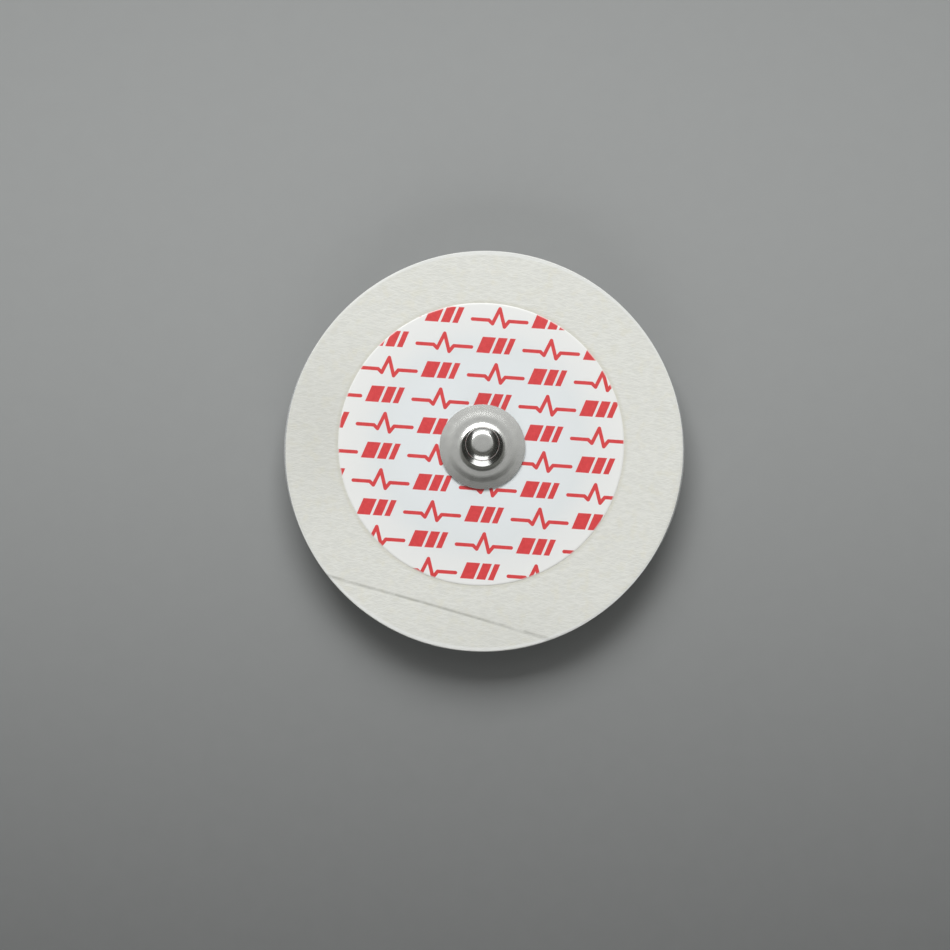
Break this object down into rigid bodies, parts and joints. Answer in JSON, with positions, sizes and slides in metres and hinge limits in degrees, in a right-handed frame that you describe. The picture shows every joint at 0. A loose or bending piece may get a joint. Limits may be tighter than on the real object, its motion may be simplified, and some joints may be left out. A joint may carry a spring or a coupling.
{
  "type": "ecg electrode",
  "caption": "Round disposable monitoring electrode: cloth disc, printed label and steel snap stud, lying on its clear cup-shaped release liner.",
  "frame": {"origin": "on the flat of the liner's cup, under the middle of the cloth disc", "axes": "+Z out of the snap stud, +X to the right of the face and +Y to its top, as in the picture"},
  "size_m": [0.0462, 0.0462, 0.0076],
  "materials": {
    "stainless_steel": "satin",
    "coated_plastic": "matt grey coating",
    "label_film": "semi-gloss printed film",
    "nonwoven_cloth": "soft non-woven",
    "gel_foam": "wet open-cell foam",
    "clear_sheet": "clear thermoformed sheet"
  },
  "bodies": {
    "root": {"snap_stud": "stainless_steel", "sensor_eyelet": "coated_plastic", "label": "label_film", "cloth_backing": "nonwoven_cloth", "gel_sponge": "gel_foam", "release_liner": "clear_sheet", "liner_tab": "clear_sheet"}
  },
  "joints": []
}
